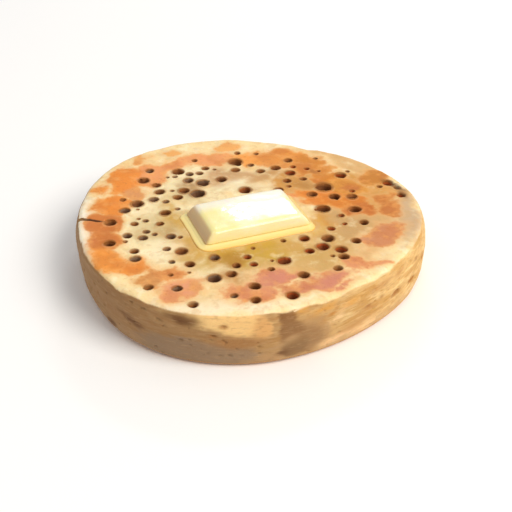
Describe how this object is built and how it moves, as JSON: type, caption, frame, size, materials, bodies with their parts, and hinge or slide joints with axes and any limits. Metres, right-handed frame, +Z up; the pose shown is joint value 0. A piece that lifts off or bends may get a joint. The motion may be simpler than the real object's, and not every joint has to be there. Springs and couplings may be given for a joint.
{
  "type": "crumpet",
  "caption": "Round griddled crumpet with a holed top and toasted patches, a pat of butter melting in the middle",
  "frame": {"origin": "on the underside, in the middle of the part's width and depth", "axes": "+Z up out of the holed top, +X to the right and +Y to the back as the part is usually seen"},
  "size_m": [0.1038, 0.1012, 0.0207],
  "materials": {
    "griddled_batter": null,
    "butter": null,
    "melted_butter": null
  },
  "bodies": {
    "root": {"crumpet": "griddled_batter", "butter_pat": "butter", "melted_butter": "melted_butter"}
  },
  "joints": []
}
